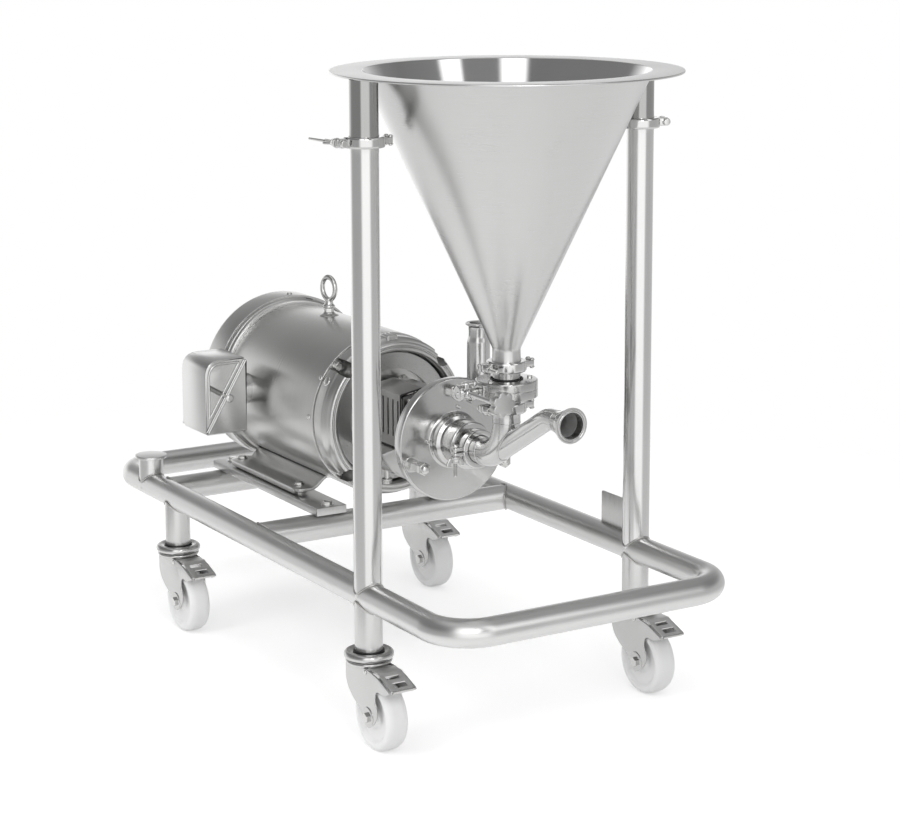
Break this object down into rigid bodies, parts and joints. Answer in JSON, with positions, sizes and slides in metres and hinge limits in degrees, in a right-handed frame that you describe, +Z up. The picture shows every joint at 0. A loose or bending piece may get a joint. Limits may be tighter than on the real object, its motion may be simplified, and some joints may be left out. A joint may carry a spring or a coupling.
{
  "type": "powder dissolver",
  "caption": "Wheeled tube frame carrying a cone hopper above a valve and a mixing elbow, with a motor driven centrifugal pump that blends powder into liquid.",
  "frame": {"origin": "on the floor under the middle of the machine's overall length and width", "axes": "+Z up, +Y from the hopper end to the motor end, +X to the right seen from the hopper end"},
  "size_m": [0.7156, 1.4123, 1.1846],
  "materials": {
    "frame_steel": "satin polished stainless tube",
    "polished_steel": "polished stainless",
    "cast_steel": "tumbled cast stainless",
    "motor_steel": "satin stainless housing",
    "plated_steel": "bright zinc plate",
    "nylon": "moulded nylon",
    "lamination": "stacked laminations",
    "fan_plastic": "moulded plastic",
    "seal_rubber": "moulded rubber"
  },
  "bodies": {
    "machine": {"capped_stub": "frame_steel", "castor_heads": "plated_steel", "castor_legs": "frame_steel", "clamp_wing_nuts": "cast_steel", "conduit_box": "motor_steel", "conduit_cover": "motor_steel", "cover_nuts": "polished_steel", "fan_cover": "motor_steel", "front_bend": "frame_steel", "front_cross_tube": "frame_steel", "front_end_bell": "motor_steel", "gaskets": "seal_rubber", "hopper": "polished_steel", "hopper_stubs": "polished_steel", "inlet_clamp": "cast_steel", "left_post": "frame_steel", "left_post_clamp": "cast_steel", "left_rail": "frame_steel", "lifting_eye": "plated_steel", "lower_valve_clamp": "cast_steel", "mixing_elbow": "polished_steel", "motor_bearings": "plated_steel", "motor_foot": "motor_steel", "motor_screws": "cast_steel", "motor_shell": "motor_steel", "mount_bars": "frame_steel", "mounting_bolts": "cast_steel", "post_plate": "frame_steel", "pump_adapter": "motor_steel", "pump_cover": "polished_steel", "pump_housing": "polished_steel", "rear_bend": "frame_steel", "rear_cross_tube": "frame_steel", "rear_end_bell": "motor_steel", "right_post": "frame_steel", "right_post_clamp": "cast_steel", "right_rail": "frame_steel", "shaft_guard": "polished_steel", "stator_core": "lamination", "upper_valve_clamp": "cast_steel", "valve_body": "polished_steel"},
    "rotor": {"rotor_shaft": "plated_steel", "cooling_fan": "fan_plastic", "impeller": "polished_steel", "shaft_seal": "seal_rubber"},
    "valve": {"valve_disc": "polished_steel", "valve_handle": "cast_steel"},
    "front_left_swivel": {"front_left_fork": "plated_steel"},
    "front_left_roller": {"front_left_wheel": "nylon"},
    "front_left_brake": {"front_left_pedal": "plated_steel"},
    "front_right_swivel": {"front_right_fork": "plated_steel"},
    "front_right_roller": {"front_right_wheel": "nylon"},
    "front_right_brake": {"front_right_pedal": "plated_steel"},
    "rear_left_swivel": {"rear_left_fork": "plated_steel"},
    "rear_left_roller": {"rear_left_wheel": "nylon"},
    "rear_left_brake": {"rear_left_pedal": "plated_steel"},
    "rear_right_swivel": {"rear_right_fork": "plated_steel"},
    "rear_right_roller": {"rear_right_wheel": "nylon"},
    "rear_right_brake": {"rear_right_pedal": "plated_steel"}
  },
  "joints": [
    {"name": "rotor_spin", "type": "hinge", "parent": "machine", "child": "rotor", "pos_m": [0, 0.207, 0.4783], "axis": [0, 1, 0], "continuous": true},
    {"name": "valve_turn", "type": "hinge", "parent": "machine", "child": "valve", "pos_m": [0, -0.393, 0.612], "axis": [1, 0, 0], "range_deg": [0, 90]},
    {"name": "front_left_swivel_turn", "type": "hinge", "parent": "machine", "child": "front_left_swivel", "pos_m": [-0.2886, -0.393, 0.156], "axis": [0, 0, 1], "continuous": true},
    {"name": "front_left_wheel_roll", "type": "hinge", "parent": "front_left_swivel", "child": "front_left_roller", "pos_m": [-0.2886, -0.437, 0.0625], "axis": [1, 0, 0], "continuous": true},
    {"name": "front_left_brake_press", "type": "hinge", "parent": "front_left_swivel", "child": "front_left_brake", "pos_m": [-0.2886, -0.429, 0.143], "axis": [1, 0, 0], "range_deg": [0, 8]},
    {"name": "front_right_swivel_turn", "type": "hinge", "parent": "machine", "child": "front_right_swivel", "pos_m": [0.2886, -0.393, 0.156], "axis": [0, 0, 1], "continuous": true},
    {"name": "front_right_wheel_roll", "type": "hinge", "parent": "front_right_swivel", "child": "front_right_roller", "pos_m": [0.2886, -0.437, 0.0625], "axis": [1, 0, 0], "continuous": true},
    {"name": "front_right_brake_press", "type": "hinge", "parent": "front_right_swivel", "child": "front_right_brake", "pos_m": [0.2886, -0.429, 0.143], "axis": [1, 0, 0], "range_deg": [0, 8]},
    {"name": "rear_left_swivel_turn", "type": "hinge", "parent": "machine", "child": "rear_left_swivel", "pos_m": [-0.2886, 0.4069, 0.156], "axis": [0, 0, 1], "continuous": true},
    {"name": "rear_left_wheel_roll", "type": "hinge", "parent": "rear_left_swivel", "child": "rear_left_roller", "pos_m": [-0.2886, 0.3629, 0.0625], "axis": [1, 0, 0], "continuous": true},
    {"name": "rear_left_brake_press", "type": "hinge", "parent": "rear_left_swivel", "child": "rear_left_brake", "pos_m": [-0.2886, 0.3709, 0.143], "axis": [1, 0, 0], "range_deg": [0, 8]},
    {"name": "rear_right_swivel_turn", "type": "hinge", "parent": "machine", "child": "rear_right_swivel", "pos_m": [0.2886, 0.4069, 0.156], "axis": [0, 0, 1], "continuous": true},
    {"name": "rear_right_wheel_roll", "type": "hinge", "parent": "rear_right_swivel", "child": "rear_right_roller", "pos_m": [0.2886, 0.3629, 0.0625], "axis": [1, 0, 0], "continuous": true},
    {"name": "rear_right_brake_press", "type": "hinge", "parent": "rear_right_swivel", "child": "rear_right_brake", "pos_m": [0.2886, 0.3709, 0.143], "axis": [1, 0, 0], "range_deg": [0, 8]}
  ]
}
